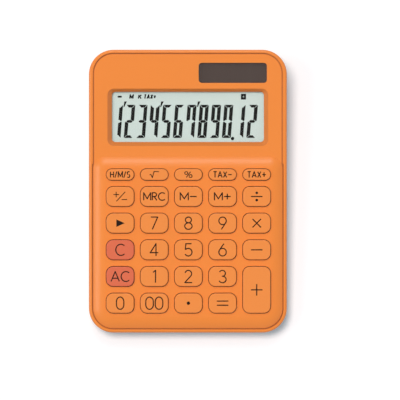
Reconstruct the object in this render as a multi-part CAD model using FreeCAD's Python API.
"""Desk calculator: a tilted two-shell case, twenty-nine sprung keys, a liquid-crystal display,
a solar cell and a button cell.

Lengths are millimetres. Two frames are used:
  face frame  X right, Y towards the display end, Z out of the face; Z = 0 is the display face.
  row frame   the same X, with Z straight up from the table and the origin under the middle.
Everything parallel to the face is modelled in the face frame and carried over by on_table().
The feet, the battery bay and its cover are modelled straight in the row frame.
"""
import FreeCAD
import Part
import math
import os

V = FreeCAD.Vector
FACE_NORMAL = V(0, 0, 1)

# ---- driving dimensions ------------------------------------------------------------------
# case
CASE_WIDTH = 105.0
CASE_LENGTH = 150.0
CASE_CORNER = 13.0
CASE_TILT = 4.0            # degrees between the face and the table
SIDE_DRAFT = 6.0           # degrees, rear case only
SIDE_WALL = 1.8
TOP_WALL = 2.0
FLOOR = 1.8
SEAM_DEPTH = 6.5           # display face down to the joint between the two shells
SEAM_CHAMFER = 0.25
LIP_HEIGHT = 1.3
LIP_WIDTH = 0.8
BOTTOM_ROUND = 2.0

# rim, groove and display face
RIM_HEIGHT = 0.4
RIM_ROUND = 1.2
RIM_INNER_CHAMFER = 0.1
DISPLAY_RIM = 2.15
PAD_RIM = 1.7
GROOVE_WIDTH = 0.65
DISPLAY_GROOVE_DEPTH = 1.0
PAD_GROOVE_DEPTH = 1.4
GROOVE_RUN_PAST = 2.5      # how far it runs up beside the panel's far corners

# crowned key panel
PAD_RISE = 1.8
PAD_CROWN = 11.6           # radius of the rounded shoulder
PAD_BEYOND_KEYS = 9.6      # from the middle of the narrow keys to the panel's far edge
PAD_FAR_CORNER = 6.5
PAD_WALL = 2.2

# display opening, with its sloping frame
SCREEN_WIDTH = 80.6
SCREEN_LENGTH = 26.6
SCREEN_FROM_END = 22.3
SCREEN_CORNER = 1.8
FRAME_SIDE = 2.4
FRAME_NEAR = 2.2
FRAME_FAR = 1.7
FRAME_CORNER = 3.4

# solar opening
SOLAR_WIDTH = 36.2
SOLAR_LENGTH = 10.7
SOLAR_FROM_SIDE = 10.6
SOLAR_FROM_END = 6.9
SOLAR_CORNER = 1.75

# keys
KEY_WIDTH = 14.6
KEY_LENGTH = 10.4
KEY_CORNER = 3.6
PILL_LENGTH = 5.9
KEY_PITCH_X = 18.08
KEY_PITCH_Y = 14.12
PILL_PITCH_Y = 11.62       # from the farthest full row to the row of narrow keys
KEY_COLUMNS = 5
FULL_ROWS = 5
KEYS_FROM_END = 15.7       # case's near end to the middle of the nearest row
KEY_SHIFT = 0.3            # the whole block, to the right of the middle
KEY_GAP = 0.35
KEY_PROUD = 1.8            # key top above the panel
KEY_TRAVEL = 1.5
KEY_EDGE = 0.45
KEY_SKIN = 1.3
FLANGE_WIDTH = 0.8
FLANGE_THICKNESS = 0.9
FLANGE_PLAY = 0.1
STEM_RADIUS = 2.0

# rubber dome sheet and circuit board
DOME_STEM_PLAY = 0.05
DOME_HEIGHT = 3.2
DOME_FOOT_RADIUS = 3.6
DOME_HEAD_RADIUS = 2.1
DOME_HEAD_HEIGHT = 1.0
DOME_SKIN = 0.6
SHEET_THICKNESS = 0.8
PILL_RADIUS = 1.1
PILL_THICKNESS = 0.5
BOARD_THICKNESS = 1.2
BOARD_SIDE_MARGIN = 0.1    # beyond the keys at the sides
BOARD_NEAR_MARGIN = 0.6    # beyond the keys at the near end
BOARD_FAR_MARGIN = 0.7     # beyond the display connector
BOARD_CORNER = 4.0

# display stack
WINDOW_THICKNESS = 1.2
WINDOW_LAP = 2.2
STACK_GAP = 0.2
FILM_THICKNESS = 0.2
GLASS_THICKNESS = 1.1
REFLECTOR_THICKNESS = 0.3
FILM_LAP = 0.9
GLASS_LAP = 1.8
LEDGE_LENGTH = 3.3         # part of the front glass that carries the contacts
STRIP_WIDTH = 2.0
STRIP_INSET = 0.5
HOLDER_WALL = 1.3
HOLDER_PLATE = 1.2
HOLDER_PLAY = 0.25
EAR_LENGTH = 4.6
EAR_WIDTH = 5.0

# solar cell
SOLAR_LENS_RECESS = 0.1
SOLAR_FLANGE = 1.0
SOLAR_PLAY = 0.1
CELL_GLASS = 1.1

# screws
NEAR_SCREW = (8.0, 6.8)    # in from the side, in from the near end
MIDDLE_SCREW = (6.2, 3.4)  # in from the side, short of the key panel's far edge
FAR_SCREW = (6.8, 12.5)    # in from the side, in from the far end
BOSS_UNDER_BOARD = 0.15
HEAD_RECESS = 0.3          # of the nearest case screws, inside the floor's outer face
BOSS_RADIUS = 2.3
CASE_SCREW_RADIUS = 1.05
CASE_SCREW_LENGTH = 7.0
CASE_HEAD_RADIUS = 1.9
CASE_HEAD_HEIGHT = 1.3
SHELF = 1.2
SMALL_BOSS_RADIUS = 1.7
SMALL_SCREW_RADIUS = 0.75
SMALL_SCREW_LENGTH = 4.5
SMALL_HEAD_RADIUS = 1.6
SMALL_HEAD_HEIGHT = 0.9
THREAD_PLAY = 0.05
HOLE_PLAY = 0.3
BOARD_SCREW_EDGE_X = 30.0
BOARD_SCREW_BEYOND = 8.2   # beyond the middle of the narrow keys

# feet
FOOT_RADIUS = 4.5
FOOT_HEIGHT = 1.0
FOOT_RECESS = 0.6
FOOT_PLAY = 0.1
FOOT_FROM_SIDE = 16.5
FOOT_FROM_END = 14.0

# battery bay
BAY_X = -15.0
BAY_FROM_END = 31.0
COVER_WIDTH = 27.0
COVER_LENGTH = 18.6
COVER_CORNER = 2.0
COVER_PLAY = 0.2
COVER_THICKNESS = 1.7
CELL_RADIUS = 5.8
CELL_HEIGHT = 5.4
CELL_CAP_RADIUS = 4.4
CELL_CAP_HEIGHT = 0.6
CELL_PLAY = 0.25
CELL_SHIFT = -5.0          # cell centre from the bay centre, along X
COVER_SCREW_SHIFT = 8.6    # cover screw from the bay centre, along X
COVER_SCREW_LENGTH = 4.0
CONTACT_THICKNESS = 0.3
CONTACT_WIDTH = 3.0
TAB_REACH = 1.2
TAB_THICKNESS = 0.8
TAB_WIDTH = 4.0
TAB_SPREAD = 5.0
TAB_PLAY = 0.1
LABEL_WIDTH = 52.0
LABEL_LENGTH = 24.0
LABEL_DEPTH = 0.3
LABEL_Y = -8.0

# parts under the board, and the leads
CHIP_RADIUS = 6.0
CHIP_HEIGHT = 1.4
CHIP_SPOT = (-6.0, 24.2)   # across, and in from the board's far edge
CAPACITOR_RADIUS = 2.5
CAPACITOR_LENGTH = 7.0
CAPACITOR_SPOT = (20.0, 19.2)
CAPACITOR_LIFT = 0.3
CAPACITOR_LEG = 0.25
LEAD_RADIUS = 0.4
LEAD_RISE = 2.6            # straight rise to the board's underside
LEAD_LANDING = 5.0         # from the board's far edge
LEAD_SHARE = 0.45          # of the shorter run, taken by each bend

# ---- levels worked out from them (face frame, Z) ------------------------------------------
TILT = math.radians(CASE_TILT)
HALF_WIDTH = CASE_WIDTH / 2
HALF_LENGTH = CASE_LENGTH / 2
PAD_CEILING = PAD_RISE - PAD_WALL
KEY_TOP = PAD_RISE + KEY_PROUD
FLANGE_TOP = PAD_CEILING - FLANGE_PLAY
FLANGE_BOTTOM = FLANGE_TOP - FLANGE_THICKNESS
STEM_END = FLANGE_BOTTOM - KEY_TRAVEL - 0.3
DOME_TOP = STEM_END - DOME_STEM_PLAY
SKIRT_TOP = DOME_TOP - DOME_HEAD_HEIGHT
SHEET_TOP = DOME_TOP - DOME_HEIGHT
BOARD_TOP = SHEET_TOP - SHEET_THICKNESS
PILL_TOP = BOARD_TOP + KEY_TRAVEL + PILL_THICKNESS
BOARD_BOTTOM = BOARD_TOP - BOARD_THICKNESS
FILM_TOP = -TOP_WALL - WINDOW_THICKNESS - STACK_GAP
GLASS_TOP = FILM_TOP - FILM_THICKNESS
GLASS_MIDDLE = GLASS_TOP - GLASS_THICKNESS
GLASS_BOTTOM = GLASS_MIDDLE - GLASS_THICKNESS
CELL_BACK = -TOP_WALL - WINDOW_THICKNESS - STACK_GAP - CELL_GLASS
REFLECTOR_BOTTOM = GLASS_BOTTOM - REFLECTOR_THICKNESS
HOLDER_TOP = REFLECTOR_BOTTOM - 0.1
HOLDER_BOTTOM = HOLDER_TOP - HOLDER_PLATE
SEAM = -SEAM_DEPTH
BOSS_MEET = BOARD_BOTTOM - BOSS_UNDER_BOARD
HEAD_SEAT = BOSS_MEET - SHELF
FAR_BELOW = -60.0          # below everything, for cutters
# display face down to the case floor at the near end, so that the near screws' heads sink in
FRONT_DEPTH = CASE_HEAD_HEIGHT + HEAD_RECESS - HEAD_SEAT - NEAR_SCREW[1] * math.tan(TILT)

# ---- places along the face (face frame, Y) -------------------------------------------------
FIRST_KEY_Y = KEYS_FROM_END - HALF_LENGTH
PILL_ROW_Y = FIRST_KEY_Y + (FULL_ROWS - 1) * KEY_PITCH_Y + PILL_PITCH_Y
PAD_FAR = PILL_ROW_Y + PAD_BEYOND_KEYS
SCREEN_FAR = HALF_LENGTH - SCREEN_FROM_END
SCREEN_NEAR = SCREEN_FAR - SCREEN_LENGTH
SOLAR_RIGHT = HALF_WIDTH - SOLAR_FROM_SIDE
SOLAR_LEFT = SOLAR_RIGHT - SOLAR_WIDTH
SOLAR_FAR = HALF_LENGTH - SOLAR_FROM_END
SOLAR_NEAR = SOLAR_FAR - SOLAR_LENGTH
LEDGE_NEAR = SCREEN_NEAR - GLASS_LAP - LEDGE_LENGTH
BOARD_HALF_WIDTH = (KEY_COLUMNS - 1) / 2 * KEY_PITCH_X + KEY_WIDTH / 2 + BOARD_SIDE_MARGIN
BOARD_NEAR = FIRST_KEY_Y - KEY_LENGTH / 2 - BOARD_NEAR_MARGIN
BOARD_FAR = LEDGE_NEAR + STRIP_INSET + STRIP_WIDTH + BOARD_FAR_MARGIN

# row frame: where the face frame's origin goes
NEAR_EDGE_Y = (
    (RIM_ROUND - HALF_LENGTH) * math.cos(TILT) - (RIM_HEIGHT - RIM_ROUND) * math.sin(TILT)
    - RIM_ROUND
)
FAR_EDGE_Y = HALF_LENGTH * math.cos(TILT) - (SEAM + SEAM_CHAMFER) * math.sin(TILT)
SHIFT_Y = -(NEAR_EDGE_Y + FAR_EDGE_Y) / 2
FLOOR_LEVEL = -HALF_LENGTH * math.sin(TILT) - FRONT_DEPTH * math.cos(TILT)
SHIFT_Z = FOOT_HEIGHT - FLOOR_LEVEL
FLOOR_TOP = FOOT_HEIGHT + FLOOR
FOOT_X = HALF_WIDTH - FOOT_FROM_SIDE
FOOT_Y = HALF_LENGTH - FOOT_FROM_END
BAY_Y = HALF_LENGTH - BAY_FROM_END


# ---- small tools -------------------------------------------------------------------------
class Outline:
    """A rectangle with rounded corners, seen from above: its sides and its corner radii."""

    def __init__(self, left, right, near, far, corner, far_corner=None):
        self.left, self.right, self.near, self.far = left, right, near, far
        self.corner = corner
        self.far_corner = corner if far_corner is None else far_corner

    @staticmethod
    def centred(x, y, width, length, corner):
        return Outline(x - width / 2, x + width / 2, y - length / 2, y + length / 2, corner)

    def grown(self, by):
        """The same outline moved outwards by a distance, or inwards if it is negative."""
        return Outline(
            self.left - by, self.right + by, self.near - by, self.far + by,
            max(self.corner + by, 0.01), max(self.far_corner + by, 0.01),
        )

    def wire(self, z):
        """The closed wire at height z: four sides joined by quarter circles."""
        corners = [
            (self.left, self.near, self.corner, 180), (self.right, self.near, self.corner, 270),
            (self.right, self.far, self.far_corner, 0), (self.left, self.far, self.far_corner, 90),
        ]
        arcs = []
        for x, y, radius, start in corners:
            centre_x = x + radius if x == self.left else x - radius
            centre_y = y + radius if y == self.near else y - radius
            turn = [math.radians(start + step) for step in (0, 45, 90)]
            arcs.append([
                V(centre_x + radius * math.cos(a), centre_y + radius * math.sin(a), z) for a in turn
            ])
        edges = []
        for arc, following in zip(arcs, arcs[1:] + arcs[:1]):
            edges.append(Part.Arc(*arc).toShape())
            if (following[0] - arc[2]).Length > 1e-4:
                edges.append(Part.LineSegment(arc[2], following[0]).toShape())
        return Part.Wire(edges)

    def prism(self, low, high):
        return Part.Face(self.wire(low)).extrude(V(0, 0, high - low))

    def taper(self, high, low, low_outline):
        """A solid that runs from this outline at height high to another one at height low."""
        return Part.makeLoft([self.wire(high), low_outline.wire(low)], True, True)


def on_table(shape):
    """Carries a face-frame shape into the row frame: tilts it about X and stands it on its feet."""
    placed = shape.copy()
    placed.rotate(V(0, 0, 0), V(1, 0, 0), CASE_TILT)
    placed.translate(V(0, SHIFT_Y, SHIFT_Z))
    return placed


def cylinder(x, y, low, high, radius):
    return Part.makeCylinder(radius, high - low, V(x, y, low), FACE_NORMAL)


def box(left, right, near, far, low, high):
    return Part.makeBox(right - left, far - near, high - low, V(left, near, low))


def rounded_edges(solid, radius, wanted):
    """Rounds the edges of a solid whose every corner point passes the test."""
    edges = [e for e in solid.Edges if all(wanted(v.Point) for v in e.Vertexes)]
    return solid.makeFillet(radius, edges)


def screw(x, y, seat, head_radius, head_height, shank_radius, shank_length):
    """A pan-head screw pointing up, its head's upper face at height seat, with a cross recess."""
    head = cylinder(x, y, seat - head_height, seat, head_radius)
    head = rounded_edges(head, head_height * 0.4, lambda p: abs(p.z - (seat - head_height)) < 1e-6)
    body = head.fuse(cylinder(x, y, seat, seat + shank_length, shank_radius))
    slot, arm, depth = head_radius * 0.24, head_radius * 0.62, head_height * 0.55
    floor = seat - head_height
    cross = box(x - arm, x + arm, y - slot / 2, y + slot / 2, floor, floor + depth)
    cross = cross.fuse(box(x - slot / 2, x + slot / 2, y - arm, y + arm, floor, floor + depth))
    return body.cut(cross).removeSplitter()


def lead(points):
    """A hookup wire along straight runs joined by tangent arcs, each as large as its runs allow."""
    path, start = [], points[0]
    for before, corner, after in zip(points, points[1:], points[2:]):
        reach = LEAD_SHARE * min((before - corner).Length, (after - corner).Length)
        back = (before - corner).normalize()
        on = (after - corner).normalize()
        half = back.getAngle(on) / 2
        radius = reach * math.tan(half)
        middle_way = (back + on).normalize()
        centre = corner + middle_way * (radius / math.sin(half))
        first, last = corner + back * reach, corner + on * reach
        path.append(Part.LineSegment(start, first).toShape())
        path.append(Part.Arc(first, centre - middle_way * radius, last).toShape())
        start = last
    path.append(Part.LineSegment(start, points[-1]).toShape())
    ring = Part.Wire(Part.makeCircle(LEAD_RADIUS, points[0], points[1] - points[0]))
    return Part.Wire(path).makePipeShell([ring], True, False)


# ---- outlines shared by several pieces ----------------------------------------------------
case_outline = Outline.centred(0, 0, CASE_WIDTH, CASE_LENGTH, CASE_CORNER)
display_recess = Outline(
    DISPLAY_RIM - HALF_WIDTH, HALF_WIDTH - DISPLAY_RIM, 0, HALF_LENGTH - PAD_RIM,
    CASE_CORNER - DISPLAY_RIM,
)
pad_recess = Outline(
    PAD_RIM - HALF_WIDTH, HALF_WIDTH - PAD_RIM, PAD_RIM - HALF_LENGTH,
    PAD_FAR - PAD_FAR_CORNER + GROOVE_RUN_PAST, CASE_CORNER - PAD_RIM, 0.01,
)
pad_outline = Outline(
    pad_recess.left + GROOVE_WIDTH, pad_recess.right - GROOVE_WIDTH,
    pad_recess.near + GROOVE_WIDTH, PAD_FAR, pad_recess.corner - GROOVE_WIDTH, PAD_FAR_CORNER,
)
screen_outline = Outline(
    -SCREEN_WIDTH / 2, SCREEN_WIDTH / 2, SCREEN_NEAR, SCREEN_FAR, SCREEN_CORNER
)
frame_outline = Outline(
    screen_outline.left - FRAME_SIDE, screen_outline.right + FRAME_SIDE,
    SCREEN_NEAR - FRAME_NEAR, SCREEN_FAR + FRAME_FAR, FRAME_CORNER,
)
solar_outline = Outline(SOLAR_LEFT, SOLAR_RIGHT, SOLAR_NEAR, SOLAR_FAR, SOLAR_CORNER)
solar_flange = solar_outline.grown(SOLAR_FLANGE)
glass_outline = screen_outline.grown(GLASS_LAP)
ledge_outline = Outline(
    glass_outline.left, glass_outline.right, LEDGE_NEAR, glass_outline.far, 0.3
)
board_outline = Outline(
    -BOARD_HALF_WIDTH, BOARD_HALF_WIDTH, BOARD_NEAR, BOARD_FAR, BOARD_CORNER, 1.0
)

KEY_ROWS = [
    ["key_time", "key_square_root", "key_percent", "key_tax_minus", "key_tax_plus"],
    ["key_sign_change", "key_memory_recall", "key_memory_minus", "key_memory_plus", "key_divide"],
    ["key_backspace", "key_7", "key_8", "key_9", "key_multiply"],
    ["key_clear", "key_4", "key_5", "key_6", "key_subtract"],
    ["key_all_clear", "key_1", "key_2", "key_3", "key_add"],
    ["key_0", "key_00", "key_decimal_point", "key_equals"],
]


def column_x(column):
    return KEY_SHIFT + (column - (KEY_COLUMNS - 1) / 2) * KEY_PITCH_X


def row_y(row):
    """Middle of a key row; row 0 is the narrow one and row 5 the nearest."""
    return PILL_ROW_Y if row == 0 else FIRST_KEY_Y + (FULL_ROWS - row) * KEY_PITCH_Y


def key_outlines():
    """Name to the outline of each key's top, in the face frame."""
    found = {}
    for row, names in enumerate(KEY_ROWS):
        length = PILL_LENGTH if row == 0 else KEY_LENGTH
        corner = min(KEY_CORNER, length / 2 - 0.01)
        for column, name in enumerate(names):
            found[name] = Outline.centred(
                column_x(column), row_y(row), KEY_WIDTH, length, corner
            )
    found["key_add"].near -= KEY_PITCH_Y      # this key spans the two nearest rows
    return found


keys = key_outlines()


def middle(outline):
    return (outline.left + outline.right) / 2, (outline.near + outline.far) / 2


key_middles = [middle(outline) for outline in keys.values()]


def board_screw_spots():
    """Between four key corners, where there is room for a boss, and two beyond the narrow keys."""
    between = [(0, 1), (3, 1), (1, 2), (0, 3), (3, 3), (2, 4)]
    spots = [
        ((column_x(c) + column_x(c + 1)) / 2, (row_y(r) + row_y(r + 1)) / 2) for c, r in between
    ]
    beyond = PILL_ROW_Y + BOARD_SCREW_BEYOND
    return spots + [(side * BOARD_SCREW_EDGE_X, beyond) for side in (-1, 1)]


def case_screw_spots():
    """Three down each side: near the near end, beside the panel's far edge, near the far end."""
    rows = [
        (NEAR_SCREW[0], NEAR_SCREW[1] - HALF_LENGTH), (MIDDLE_SCREW[0], PAD_FAR - MIDDLE_SCREW[1]),
        (FAR_SCREW[0], HALF_LENGTH - FAR_SCREW[1]),
    ]
    return [(side * (HALF_WIDTH - inset), y) for inset, y in rows for side in (-1, 1)]


board_spots = board_screw_spots()
case_spots = case_screw_spots()
ear_x = glass_outline.right + HOLDER_PLAY + HOLDER_WALL + EAR_LENGTH / 2
ear_spots = [
    (side * ear_x, y) for side in (-1, 1) for y in (SCREEN_NEAR + EAR_WIDTH, SCREEN_FAR - EAR_WIDTH)
]


# ---- front case --------------------------------------------------------------------------
def key_panel():
    """The crowned panel: a block with one big rounding all round, trimmed to its outline."""
    across = math.sqrt(PAD_CROWN ** 2 - (PAD_CROWN - PAD_RISE) ** 2)
    block = pad_outline.grown(PAD_CROWN - across).prism(PAD_RISE - PAD_CROWN - 1, PAD_RISE)
    block = rounded_edges(block, PAD_CROWN, lambda p: abs(p.z - PAD_RISE) < 1e-6)
    return block.common(pad_outline.prism(-TOP_WALL, PAD_RISE + 1))


def rim_recess(outline):
    """Cutter for the space inside the rim, with a chamfer where it meets the rim's top."""
    above = RIM_HEIGHT + 1
    flare = outline.grown(RIM_INNER_CHAMFER).taper(
        RIM_HEIGHT, RIM_HEIGHT - RIM_INNER_CHAMFER, outline
    )
    return outline.prism(0, above).fuse(flare)


def front_case():
    """Upper shell: rim, groove, display face, crowned key panel, openings and bosses."""
    shell = case_outline.prism(SEAM, RIM_HEIGHT)
    shell = rounded_edges(shell, RIM_ROUND, lambda p: abs(p.z - RIM_HEIGHT) < 1e-6)
    seam_edges = [e for e in shell.Edges if all(abs(v.Z - SEAM) < 1e-6 for v in e.Vertexes)]
    shell = shell.makeChamfer(SEAM_CHAMFER, seam_edges)
    above = RIM_HEIGHT + 1
    shell = shell.cut([rim_recess(display_recess), rim_recess(pad_recess)])
    display_groove = display_recess.prism(-DISPLAY_GROOVE_DEPTH, above).cut(
        display_recess.grown(-GROOVE_WIDTH).prism(-DISPLAY_GROOVE_DEPTH, above)
    )
    display_groove = display_groove.cut(
        box(-HALF_WIDTH, HALF_WIDTH, -HALF_LENGTH, pad_recess.far, -TOP_WALL, above)
    )
    shell = shell.cut(display_groove.fuse(pad_recess.prism(-PAD_GROOVE_DEPTH, above)))
    shell = shell.fuse(key_panel())
    cavity = case_outline.grown(-SIDE_WALL).prism(FAR_BELOW, -TOP_WALL)
    flanges_reach = FLANGE_WIDTH + 1.0
    pocket = Outline(
        keys["key_0"].left - flanges_reach, keys["key_add"].right + flanges_reach,
        keys["key_0"].near - flanges_reach, keys["key_time"].far + flanges_reach,
        KEY_CORNER + flanges_reach,
    )
    shell = shell.cut(cavity.fuse(pocket.prism(FAR_BELOW, PAD_CEILING)))
    rabbet = case_outline.grown(-SIDE_WALL).grown(LIP_WIDTH + TAB_PLAY)
    shell = shell.cut(rabbet.prism(SEAM - 1, SEAM + LIP_HEIGHT + TAB_PLAY))
    return front_case_openings(front_case_bosses(shell))


def front_case_bosses(shell):
    """Screw bosses hanging from the top wall, each with its pilot hole."""
    posts, pilots = [], []
    for x, y in case_spots:
        posts.append(cylinder(x, y, BOSS_MEET, -TOP_WALL / 2, BOSS_RADIUS))
        pilots.append(cylinder(x, y, BOSS_MEET, HEAD_SEAT + CASE_SCREW_LENGTH + 0.5,
                               CASE_SCREW_RADIUS + THREAD_PLAY))
    for x, y in board_spots:
        posts.append(cylinder(x, y, BOARD_TOP, PAD_CEILING + 0.5, SMALL_BOSS_RADIUS))
        pilots.append(cylinder(x, y, BOARD_TOP, BOARD_BOTTOM + SMALL_SCREW_LENGTH + 0.5,
                               SMALL_SCREW_RADIUS + THREAD_PLAY))
    for x, y in ear_spots:
        posts.append(cylinder(x, y, HOLDER_TOP, -TOP_WALL / 2, SMALL_BOSS_RADIUS))
        pilots.append(cylinder(x, y, HOLDER_TOP, HOLDER_BOTTOM + SMALL_SCREW_LENGTH + 0.2,
                               SMALL_SCREW_RADIUS + THREAD_PLAY))
    inside = case_outline.grown(-SIDE_WALL).prism(FAR_BELOW, PAD_RISE)
    shell = shell.fuse([post.common(inside) for post in posts])
    return shell.cut(pilots)


def front_case_openings(shell):
    """Cuts the key openings, the display opening with its sloping frame and the solar opening."""
    above = KEY_TOP + 1
    cutters = [outline.grown(KEY_GAP).prism(-TOP_WALL - 1, above) for outline in keys.values()]
    cutters.append(frame_outline.taper(0, -TOP_WALL, screen_outline))
    cutters.append(frame_outline.prism(0, above))
    cutters.append(solar_outline.prism(-TOP_WALL - 1, above))
    return shell.cut(cutters)


# ---- rear case ---------------------------------------------------------------------------
def tapered_block(inset):
    """The rear case's outer form, moved inwards, from the seam to well below the floor."""
    depth = SEAM - FAR_BELOW
    outer = case_outline.grown(-inset)
    return outer.taper(SEAM, FAR_BELOW, outer.grown(-depth * math.tan(math.radians(SIDE_DRAFT))))


def above_level(level):
    return box(-CASE_WIDTH, CASE_WIDTH, -CASE_LENGTH, CASE_LENGTH, level, level + CASE_LENGTH)


def rear_case():
    """Lower shell: drafted sides, flat floor, lip, screw pillars, battery bay and recesses."""
    shell = on_table(tapered_block(0)).common(above_level(FOOT_HEIGHT))
    shell = rounded_edges(shell, BOTTOM_ROUND, lambda p: abs(p.z - FOOT_HEIGHT) < 1e-6)
    hollow = on_table(tapered_block(SIDE_WALL)).common(above_level(FLOOR_TOP))
    shell = shell.cut(hollow)
    lip_outline = case_outline.grown(-SIDE_WALL)
    lip = lip_outline.grown(LIP_WIDTH).prism(SEAM - 0.5, SEAM + LIP_HEIGHT)
    lip = lip.cut(lip_outline.prism(SEAM - 1, SEAM + LIP_HEIGHT + 1))
    shell = shell.fuse(on_table(lip))
    shell = shell.cut(on_table(seam_bevel()))
    shell = rear_case_pillars(shell)
    shell = rear_case_bay(shell)
    for x, y in foot_spots():
        shell = shell.cut(cylinder(x, y, 0, FOOT_HEIGHT + FOOT_RECESS, FOOT_RADIUS + FOOT_PLAY))
    label = Outline.centred(0, LABEL_Y, LABEL_WIDTH, LABEL_LENGTH, 1.5)
    return shell.cut(label.prism(0, FOOT_HEIGHT + LABEL_DEPTH)).removeSplitter()


def seam_bevel():
    """A ring that takes a small chamfer off the rear case's upper outer edge."""
    low = SEAM - SEAM_CHAMFER
    around = case_outline.grown(1).prism(low, SEAM)
    return around.cut(case_outline.taper(low, SEAM, case_outline.grown(-SEAM_CHAMFER)))


def rear_case_pillars(shell):
    """Hollow pillars that meet the front case's bosses, open below for the screw heads."""
    pillar_radius = CASE_HEAD_RADIUS + HOLE_PLAY + 1.0
    inside = on_table(tapered_block(SIDE_WALL / 2)).common(above_level(FOOT_HEIGHT + FLOOR / 2))
    pillars = [cylinder(x, y, FAR_BELOW, BOSS_MEET, pillar_radius) for x, y in case_spots]
    shell = shell.fuse([on_table(p).common(inside) for p in pillars])
    holes = []
    for x, y in case_spots:
        holes.append(cylinder(x, y, FAR_BELOW, HEAD_SEAT, CASE_HEAD_RADIUS + HOLE_PLAY))
        holes.append(cylinder(x, y, FAR_BELOW, BOSS_MEET + 1, CASE_SCREW_RADIUS + HOLE_PLAY))
    return shell.cut([on_table(hole) for hole in holes])


def foot_spots():
    return [(sx * FOOT_X, sy * FOOT_Y) for sy in (-1, 1) for sx in (-1, 1)]


# ---- battery bay (row frame) --------------------------------------------------------------
cover_outline = Outline.centred(BAY_X, BAY_Y, COVER_WIDTH, COVER_LENGTH, COVER_CORNER)
CELL_X = BAY_X + CELL_SHIFT
COVER_SCREW_X = BAY_X + COVER_SCREW_SHIFT
CELL_BOTTOM = FLOOR_TOP + 0.02
CELL_TOP = CELL_BOTTOM + CELL_HEIGHT
BAY_CEILING = CELL_TOP + CONTACT_THICKNESS + 0.1
BAY_TOP = BAY_CEILING + 1.2
SIDE_CONTACT_X = CELL_X - CELL_RADIUS - CONTACT_THICKNESS - 0.02
TAB_Y = [BAY_Y - TAB_SPREAD, BAY_Y + TAB_SPREAD]


def rear_case_bay(shell):
    """The block over the hatch, with its cell pocket, contact slots, hatch and tab notches."""
    shell = shell.fuse(cover_outline.grown(1.2).prism(FLOOR_TOP - FLOOR / 2, BAY_TOP))
    cutters = [cover_outline.grown(COVER_PLAY).prism(0, FLOOR_TOP)]
    cutters.append(cylinder(CELL_X, BAY_Y, 0, BAY_CEILING, CELL_RADIUS + CELL_PLAY))
    slot = CONTACT_WIDTH / 2 + 0.2
    cutters.append(box(SIDE_CONTACT_X - 0.2, CELL_X - CELL_RADIUS + 1.5, BAY_Y - slot,
                       BAY_Y + slot, 0, BAY_TOP + 1))
    cutters.append(box(CELL_X - 0.4, CELL_X + CONTACT_THICKNESS + 0.4, BAY_Y - slot,
                       BAY_Y + slot, BAY_CEILING - 1, BAY_TOP + 1))
    cutters.append(cylinder(COVER_SCREW_X, BAY_Y, 0, FLOOR_TOP + COVER_SCREW_LENGTH,
                            SMALL_SCREW_RADIUS + THREAD_PLAY))
    for y in TAB_Y:
        cutters.append(box(
            cover_outline.left - COVER_PLAY - TAB_REACH - TAB_PLAY, cover_outline.left + 1,
            y - TAB_WIDTH / 2 - TAB_PLAY, y + TAB_WIDTH / 2 + TAB_PLAY,
            FLOOR_TOP - TAB_THICKNESS - 2 * TAB_PLAY, FLOOR_TOP,
        ))
    return shell.cut(cutters)


def battery_cover():
    """Flush hatch cover: two tabs on its left edge, a countersunk screw seat on its right."""
    top = FOOT_HEIGHT + COVER_THICKNESS
    cover = cover_outline.prism(FOOT_HEIGHT, top)
    cover = rounded_edges(cover, 0.3, lambda p: abs(p.z - FOOT_HEIGHT) < 1e-6)
    for y in TAB_Y:
        cover = cover.fuse(box(cover_outline.left - TAB_REACH, cover_outline.left + 1,
                               y - TAB_WIDTH / 2, y + TAB_WIDTH / 2, top - TAB_THICKNESS, top))
    seat = FOOT_HEIGHT + SMALL_HEAD_HEIGHT + 0.1
    cover = cover.cut(cylinder(COVER_SCREW_X, BAY_Y, 0, seat, SMALL_HEAD_RADIUS + HOLE_PLAY))
    cover = cover.cut(cylinder(COVER_SCREW_X, BAY_Y, 0, top + 1, SMALL_SCREW_RADIUS + HOLE_PLAY))
    for rib in (-2, -1, 0, 1, 2):
        y = BAY_Y + rib * 2.0
        cover = cover.cut(box(cover_outline.left + 2.5, CELL_X + 2.5, y - 0.35, y + 0.35,
                              0, FOOT_HEIGHT + 0.35))
    return cover.removeSplitter()


def battery_cover_screw():
    seat = FOOT_HEIGHT + SMALL_HEAD_HEIGHT + 0.1
    return screw(COVER_SCREW_X, BAY_Y, seat, SMALL_HEAD_RADIUS, SMALL_HEAD_HEIGHT,
                 SMALL_SCREW_RADIUS, COVER_SCREW_LENGTH)


def button_cell():
    can_top = CELL_TOP - CELL_CAP_HEIGHT
    can = cylinder(CELL_X, BAY_Y, CELL_BOTTOM, can_top, CELL_RADIUS)
    can = rounded_edges(can, 0.4, lambda p: True)
    return can.fuse(cylinder(CELL_X, BAY_Y, can_top - 0.5, CELL_TOP, CELL_CAP_RADIUS)).removeSplitter()


def battery_contact_negative():
    """A flat strip on the cell's cap, with a solder tail up through the bay's ceiling."""
    half = CONTACT_WIDTH / 2
    strip = box(CELL_X - 3.0, CELL_X + CONTACT_THICKNESS, BAY_Y - half, BAY_Y + half,
                CELL_TOP, CELL_TOP + CONTACT_THICKNESS)
    tail = box(CELL_X, CELL_X + CONTACT_THICKNESS, BAY_Y - half, BAY_Y + half,
               CELL_TOP, BAY_TOP + 1.2)
    return strip.fuse(tail).removeSplitter()


def battery_contact_positive():
    """A strip against the side of the can, with its tail up through the same block."""
    half = CONTACT_WIDTH / 2
    return box(SIDE_CONTACT_X, SIDE_CONTACT_X + CONTACT_THICKNESS, BAY_Y - half, BAY_Y + half,
               CELL_BOTTOM + 0.3, BAY_TOP + 1.2)


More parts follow.
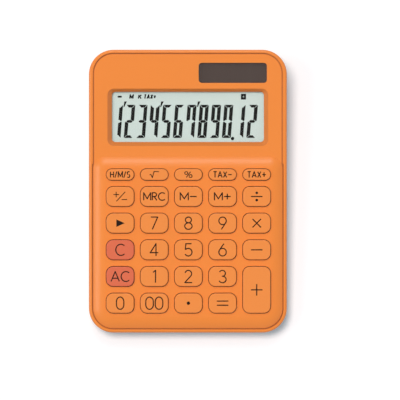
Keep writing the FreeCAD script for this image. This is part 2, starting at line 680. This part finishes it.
def rubber_feet():
    feet = []
    for x, y in foot_spots():
        foot = cylinder(x, y, 0, FOOT_HEIGHT + FOOT_RECESS, FOOT_RADIUS)
        feet.append(rounded_edges(foot, 0.3, lambda p: abs(p.z) < 1e-6))
    return Part.makeCompound(feet)


# ---- keys --------------------------------------------------------------------------------
def key_cap(outline):
    """A hollow cap with a retaining flange round its foot and a stem that meets the dome."""
    x, y = middle(outline)
    cap = outline.prism(FLANGE_BOTTOM, KEY_TOP)
    cap = rounded_edges(cap, KEY_EDGE, lambda p: abs(p.z - KEY_TOP) < 1e-6)
    cap = cap.fuse(outline.grown(FLANGE_WIDTH).prism(FLANGE_BOTTOM, FLANGE_TOP))
    hollow = outline.grown(-KEY_SKIN).prism(FLANGE_BOTTOM - 1, KEY_TOP - KEY_SKIN)
    cap = cap.cut(hollow)
    stem = cylinder(x, y, STEM_END, KEY_TOP - KEY_SKIN / 2, STEM_RADIUS)
    return cap.fuse(stem).removeSplitter()


# ---- dome sheet and board -----------------------------------------------------------------
def dome_outside(x, y):
    """A conical skirt that buckles, under a solid round head."""
    skirt = Part.makeCone(DOME_FOOT_RADIUS, DOME_HEAD_RADIUS, SKIRT_TOP - SHEET_TOP,
                          V(x, y, SHEET_TOP), FACE_NORMAL)
    return skirt.fuse(cylinder(x, y, SKIRT_TOP, DOME_TOP, DOME_HEAD_RADIUS))


def dome_hollow(x, y):
    """The space under the skirt, less the plunger that carries the carbon pill."""
    space = Part.makeCone(DOME_FOOT_RADIUS - DOME_SKIN, DOME_HEAD_RADIUS - DOME_SKIN,
                          SKIRT_TOP - BOARD_TOP, V(x, y, BOARD_TOP), FACE_NORMAL)
    return space.cut(cylinder(x, y, PILL_TOP, SKIRT_TOP + 1, PILL_RADIUS))


def rubber_dome_sheet():
    sheet_outline = Outline(-BOARD_HALF_WIDTH, BOARD_HALF_WIDTH, BOARD_NEAR,
                            keys["key_time"].far + FLANGE_WIDTH, BOARD_CORNER, 1.0)
    sheet = sheet_outline.prism(BOARD_TOP, SHEET_TOP)
    sheet = sheet.fuse([dome_outside(x, y) for x, y in key_middles])
    holes = [cylinder(x, y, BOARD_TOP - 1, SHEET_TOP + 1, SMALL_BOSS_RADIUS + HOLE_PLAY)
             for x, y in board_spots]
    return sheet.cut([dome_hollow(x, y) for x, y in key_middles] + holes).removeSplitter()


def carbon_pills():
    """The conductive discs that bridge the board's contacts when a key is down."""
    return Part.makeCompound([
        cylinder(x, y, PILL_TOP - PILL_THICKNESS, PILL_TOP, PILL_RADIUS) for x, y in key_middles
    ])


def circuit_board():
    board = board_outline.prism(BOARD_BOTTOM, BOARD_TOP)
    holes = [cylinder(x, y, BOARD_BOTTOM - 1, BOARD_TOP + 1, SMALL_SCREW_RADIUS + HOLE_PLAY)
             for x, y in board_spots]
    return board.cut(holes)


def chip_cover():
    """The low round drop of resin over the chip, a slice of a sphere."""
    x, y = CHIP_SPOT[0], BOARD_FAR - CHIP_SPOT[1]
    radius = (CHIP_RADIUS ** 2 + CHIP_HEIGHT ** 2) / (2 * CHIP_HEIGHT)
    ball = Part.makeSphere(radius, V(x, y, BOARD_BOTTOM - CHIP_HEIGHT + radius))
    return ball.common(cylinder(x, y, BOARD_BOTTOM - 2 * CHIP_HEIGHT, BOARD_BOTTOM, CHIP_RADIUS + 1))


def capacitor():
    """A small electrolytic can lying under the board on its two legs."""
    x, y = CAPACITOR_SPOT[0], BOARD_FAR - CAPACITOR_SPOT[1]
    level = BOARD_BOTTOM - CAPACITOR_LIFT - CAPACITOR_RADIUS
    can = Part.makeCylinder(CAPACITOR_RADIUS, CAPACITOR_LENGTH, V(x, y, level), V(1, 0, 0))
    can = rounded_edges(can, 0.4, lambda p: True)
    for side in (-1, 1):
        leg_y = y + side * 1.25
        can = can.fuse(Part.makeCylinder(CAPACITOR_LEG, 1.5, V(x - 1.2, leg_y, level), V(1, 0, 0)))
        can = can.fuse(cylinder(x - 1.2, leg_y, level - CAPACITOR_LEG, BOARD_BOTTOM, CAPACITOR_LEG))
    return can.removeSplitter()


# ---- display and solar cell ---------------------------------------------------------------
def display_window():
    top = -TOP_WALL
    return screen_outline.grown(WINDOW_LAP).prism(top - WINDOW_THICKNESS, top)


def lcd_front_glass():
    return ledge_outline.prism(GLASS_MIDDLE, GLASS_TOP)


def lcd_rear_glass():
    return Outline(glass_outline.left, glass_outline.right, glass_outline.near,
                   glass_outline.far, 0.3).prism(GLASS_BOTTOM, GLASS_MIDDLE)


def lcd_polarizer():
    return screen_outline.grown(FILM_LAP).prism(GLASS_TOP, FILM_TOP)


def lcd_reflector():
    return screen_outline.grown(FILM_LAP).prism(REFLECTOR_BOTTOM, GLASS_BOTTOM)


def lcd_connector():
    """The striped rubber strip pressed between the front glass's ledge and the board."""
    near = ledge_outline.near + STRIP_INSET
    half = SCREEN_WIDTH / 2
    return box(-half, half, near, near + STRIP_WIDTH, BOARD_TOP, GLASS_MIDDLE)


def lcd_holder():
    """A tray that cradles the glass from behind, open at the connector, with four screw ears."""
    inner = glass_outline.grown(HOLDER_PLAY)
    near, far = glass_outline.near + 0.3, inner.far + HOLDER_WALL
    tray = box(inner.left - HOLDER_WALL, inner.right + HOLDER_WALL, near, far,
               HOLDER_BOTTOM, GLASS_TOP)
    tray = tray.cut(box(inner.left, inner.right, near - 1, inner.far, HOLDER_TOP, 0))
    tray = tray.cut(screen_outline.grown(-4).prism(HOLDER_BOTTOM - 1, HOLDER_TOP + 1))
    for x, y in ear_spots:
        ear = box(x - EAR_LENGTH / 2 - 0.5, x + EAR_LENGTH / 2, y - EAR_WIDTH / 2,
                  y + EAR_WIDTH / 2, HOLDER_BOTTOM, HOLDER_TOP)
        if x < 0:
            ear.translate(V(0.5, 0, 0))
        tray = tray.fuse(ear)
    holes = [cylinder(x, y, HOLDER_BOTTOM - 1, HOLDER_TOP + 1, SMALL_SCREW_RADIUS + HOLE_PLAY)
             for x, y in ear_spots]
    return tray.cut(holes).removeSplitter()


def solar_window():
    """A stepped clear lens: a plug that fills the opening and a flange glued behind it."""
    plug = solar_outline.grown(-SOLAR_PLAY).prism(-TOP_WALL, -SOLAR_LENS_RECESS)
    flange = solar_flange.prism(-TOP_WALL - WINDOW_THICKNESS, -TOP_WALL)
    return plug.fuse(flange).removeSplitter()


def solar_cell():
    cell = solar_outline.grown(0.6)
    return box(cell.left, cell.right, cell.near, cell.far, CELL_BACK, CELL_BACK + CELL_GLASS)


def board_landing(x):
    """The last two points of a lead: below the board near its far edge, then up to it."""
    y = BOARD_FAR - LEAD_LANDING
    return [V(x, y, BOARD_BOTTOM - LEAD_RISE), V(x, y, BOARD_BOTTOM)]


def solar_lead(x):
    """From the back of the solar cell, under the display holder, up to the board's underside."""
    y = (SOLAR_NEAR + SOLAR_FAR) / 2
    under = HOLDER_BOTTOM - 3.0
    return lead([
        V(x, y, CELL_BACK), V(x, y, CELL_BACK - 4.0), V(x, y - 6.0, under),
        V(x, SCREEN_FAR - 8.7, under - 1.2), V(x, SCREEN_NEAR + 3.9, under - 1.0),
    ] + board_landing(x))


def battery_lead(tail_face):
    """From the broad face of a contact's tail, along the bay's top, to the board (row frame)."""
    level = BAY_TOP + LEAD_RADIUS + 0.2
    x = tail_face + 4.0
    start = V(tail_face, BAY_Y, level)
    way = [V(x, BAY_Y, level), V(x, BAY_Y - 8.0, level + 0.3), V(x, BAY_Y - 15.0, level - 0.3)]
    return lead([start] + way + [on_table(Part.Vertex(p)).Point for p in board_landing(x)])


def case_screws():
    return Part.makeCompound([
        screw(x, y, HEAD_SEAT, CASE_HEAD_RADIUS, CASE_HEAD_HEIGHT, CASE_SCREW_RADIUS,
              CASE_SCREW_LENGTH) for x, y in case_spots
    ])


def small_screws(spots, seat):
    return Part.makeCompound([
        screw(x, y, seat, SMALL_HEAD_RADIUS, SMALL_HEAD_HEIGHT, SMALL_SCREW_RADIUS,
              SMALL_SCREW_LENGTH) for x, y in spots
    ])


# ---- the whole ---------------------------------------------------------------------------
def all_nodes():
    """Node name to shape, every one in the row frame."""
    face_pieces = {
        "front_case": front_case(),
        "display_window": display_window(),
        "solar_window": solar_window(),
        "solar_cell": solar_cell(),
        "lcd_polarizer": lcd_polarizer(),
        "lcd_front_glass": lcd_front_glass(),
        "lcd_rear_glass": lcd_rear_glass(),
        "lcd_reflector": lcd_reflector(),
        "lcd_holder": lcd_holder(),
        "lcd_connector": lcd_connector(),
        "rubber_dome_sheet": rubber_dome_sheet(),
        "carbon_pills": carbon_pills(),
        "circuit_board": circuit_board(),
        "chip_cover": chip_cover(),
        "capacitor": capacitor(),
        "case_screws": case_screws(),
        "board_screws": small_screws(board_spots, BOARD_BOTTOM),
        "holder_screws": small_screws(ear_spots, HOLDER_BOTTOM),
        "solar_lead_positive": solar_lead(SOLAR_LEFT + 6.0),
        "solar_lead_negative": solar_lead(SOLAR_LEFT + 10.0),
    }
    face_pieces.update({name: key_cap(outline) for name, outline in keys.items()})
    nodes = {name: on_table(shape) for name, shape in face_pieces.items()}
    nodes.update({
        "rear_case": rear_case(),
        "battery_cover": battery_cover(),
        "battery_cover_screw": battery_cover_screw(),
        "button_cell": button_cell(),
        "battery_contact_positive": battery_contact_positive(),
        "battery_contact_negative": battery_contact_negative(),
        "battery_lead_positive": battery_lead(SIDE_CONTACT_X + CONTACT_THICKNESS),
        "battery_lead_negative": battery_lead(CELL_X + CONTACT_THICKNESS),
        "rubber_feet": rubber_feet(),
    })
    return nodes


os.makedirs("parts", exist_ok=True)
for name, shape in all_nodes().items():
    shape.exportStep(os.path.join("parts", name + ".step"))
    print(f"{name}: {len(shape.Solids)} solid, {shape.Volume:.1f} mm3, valid {shape.isValid()}")
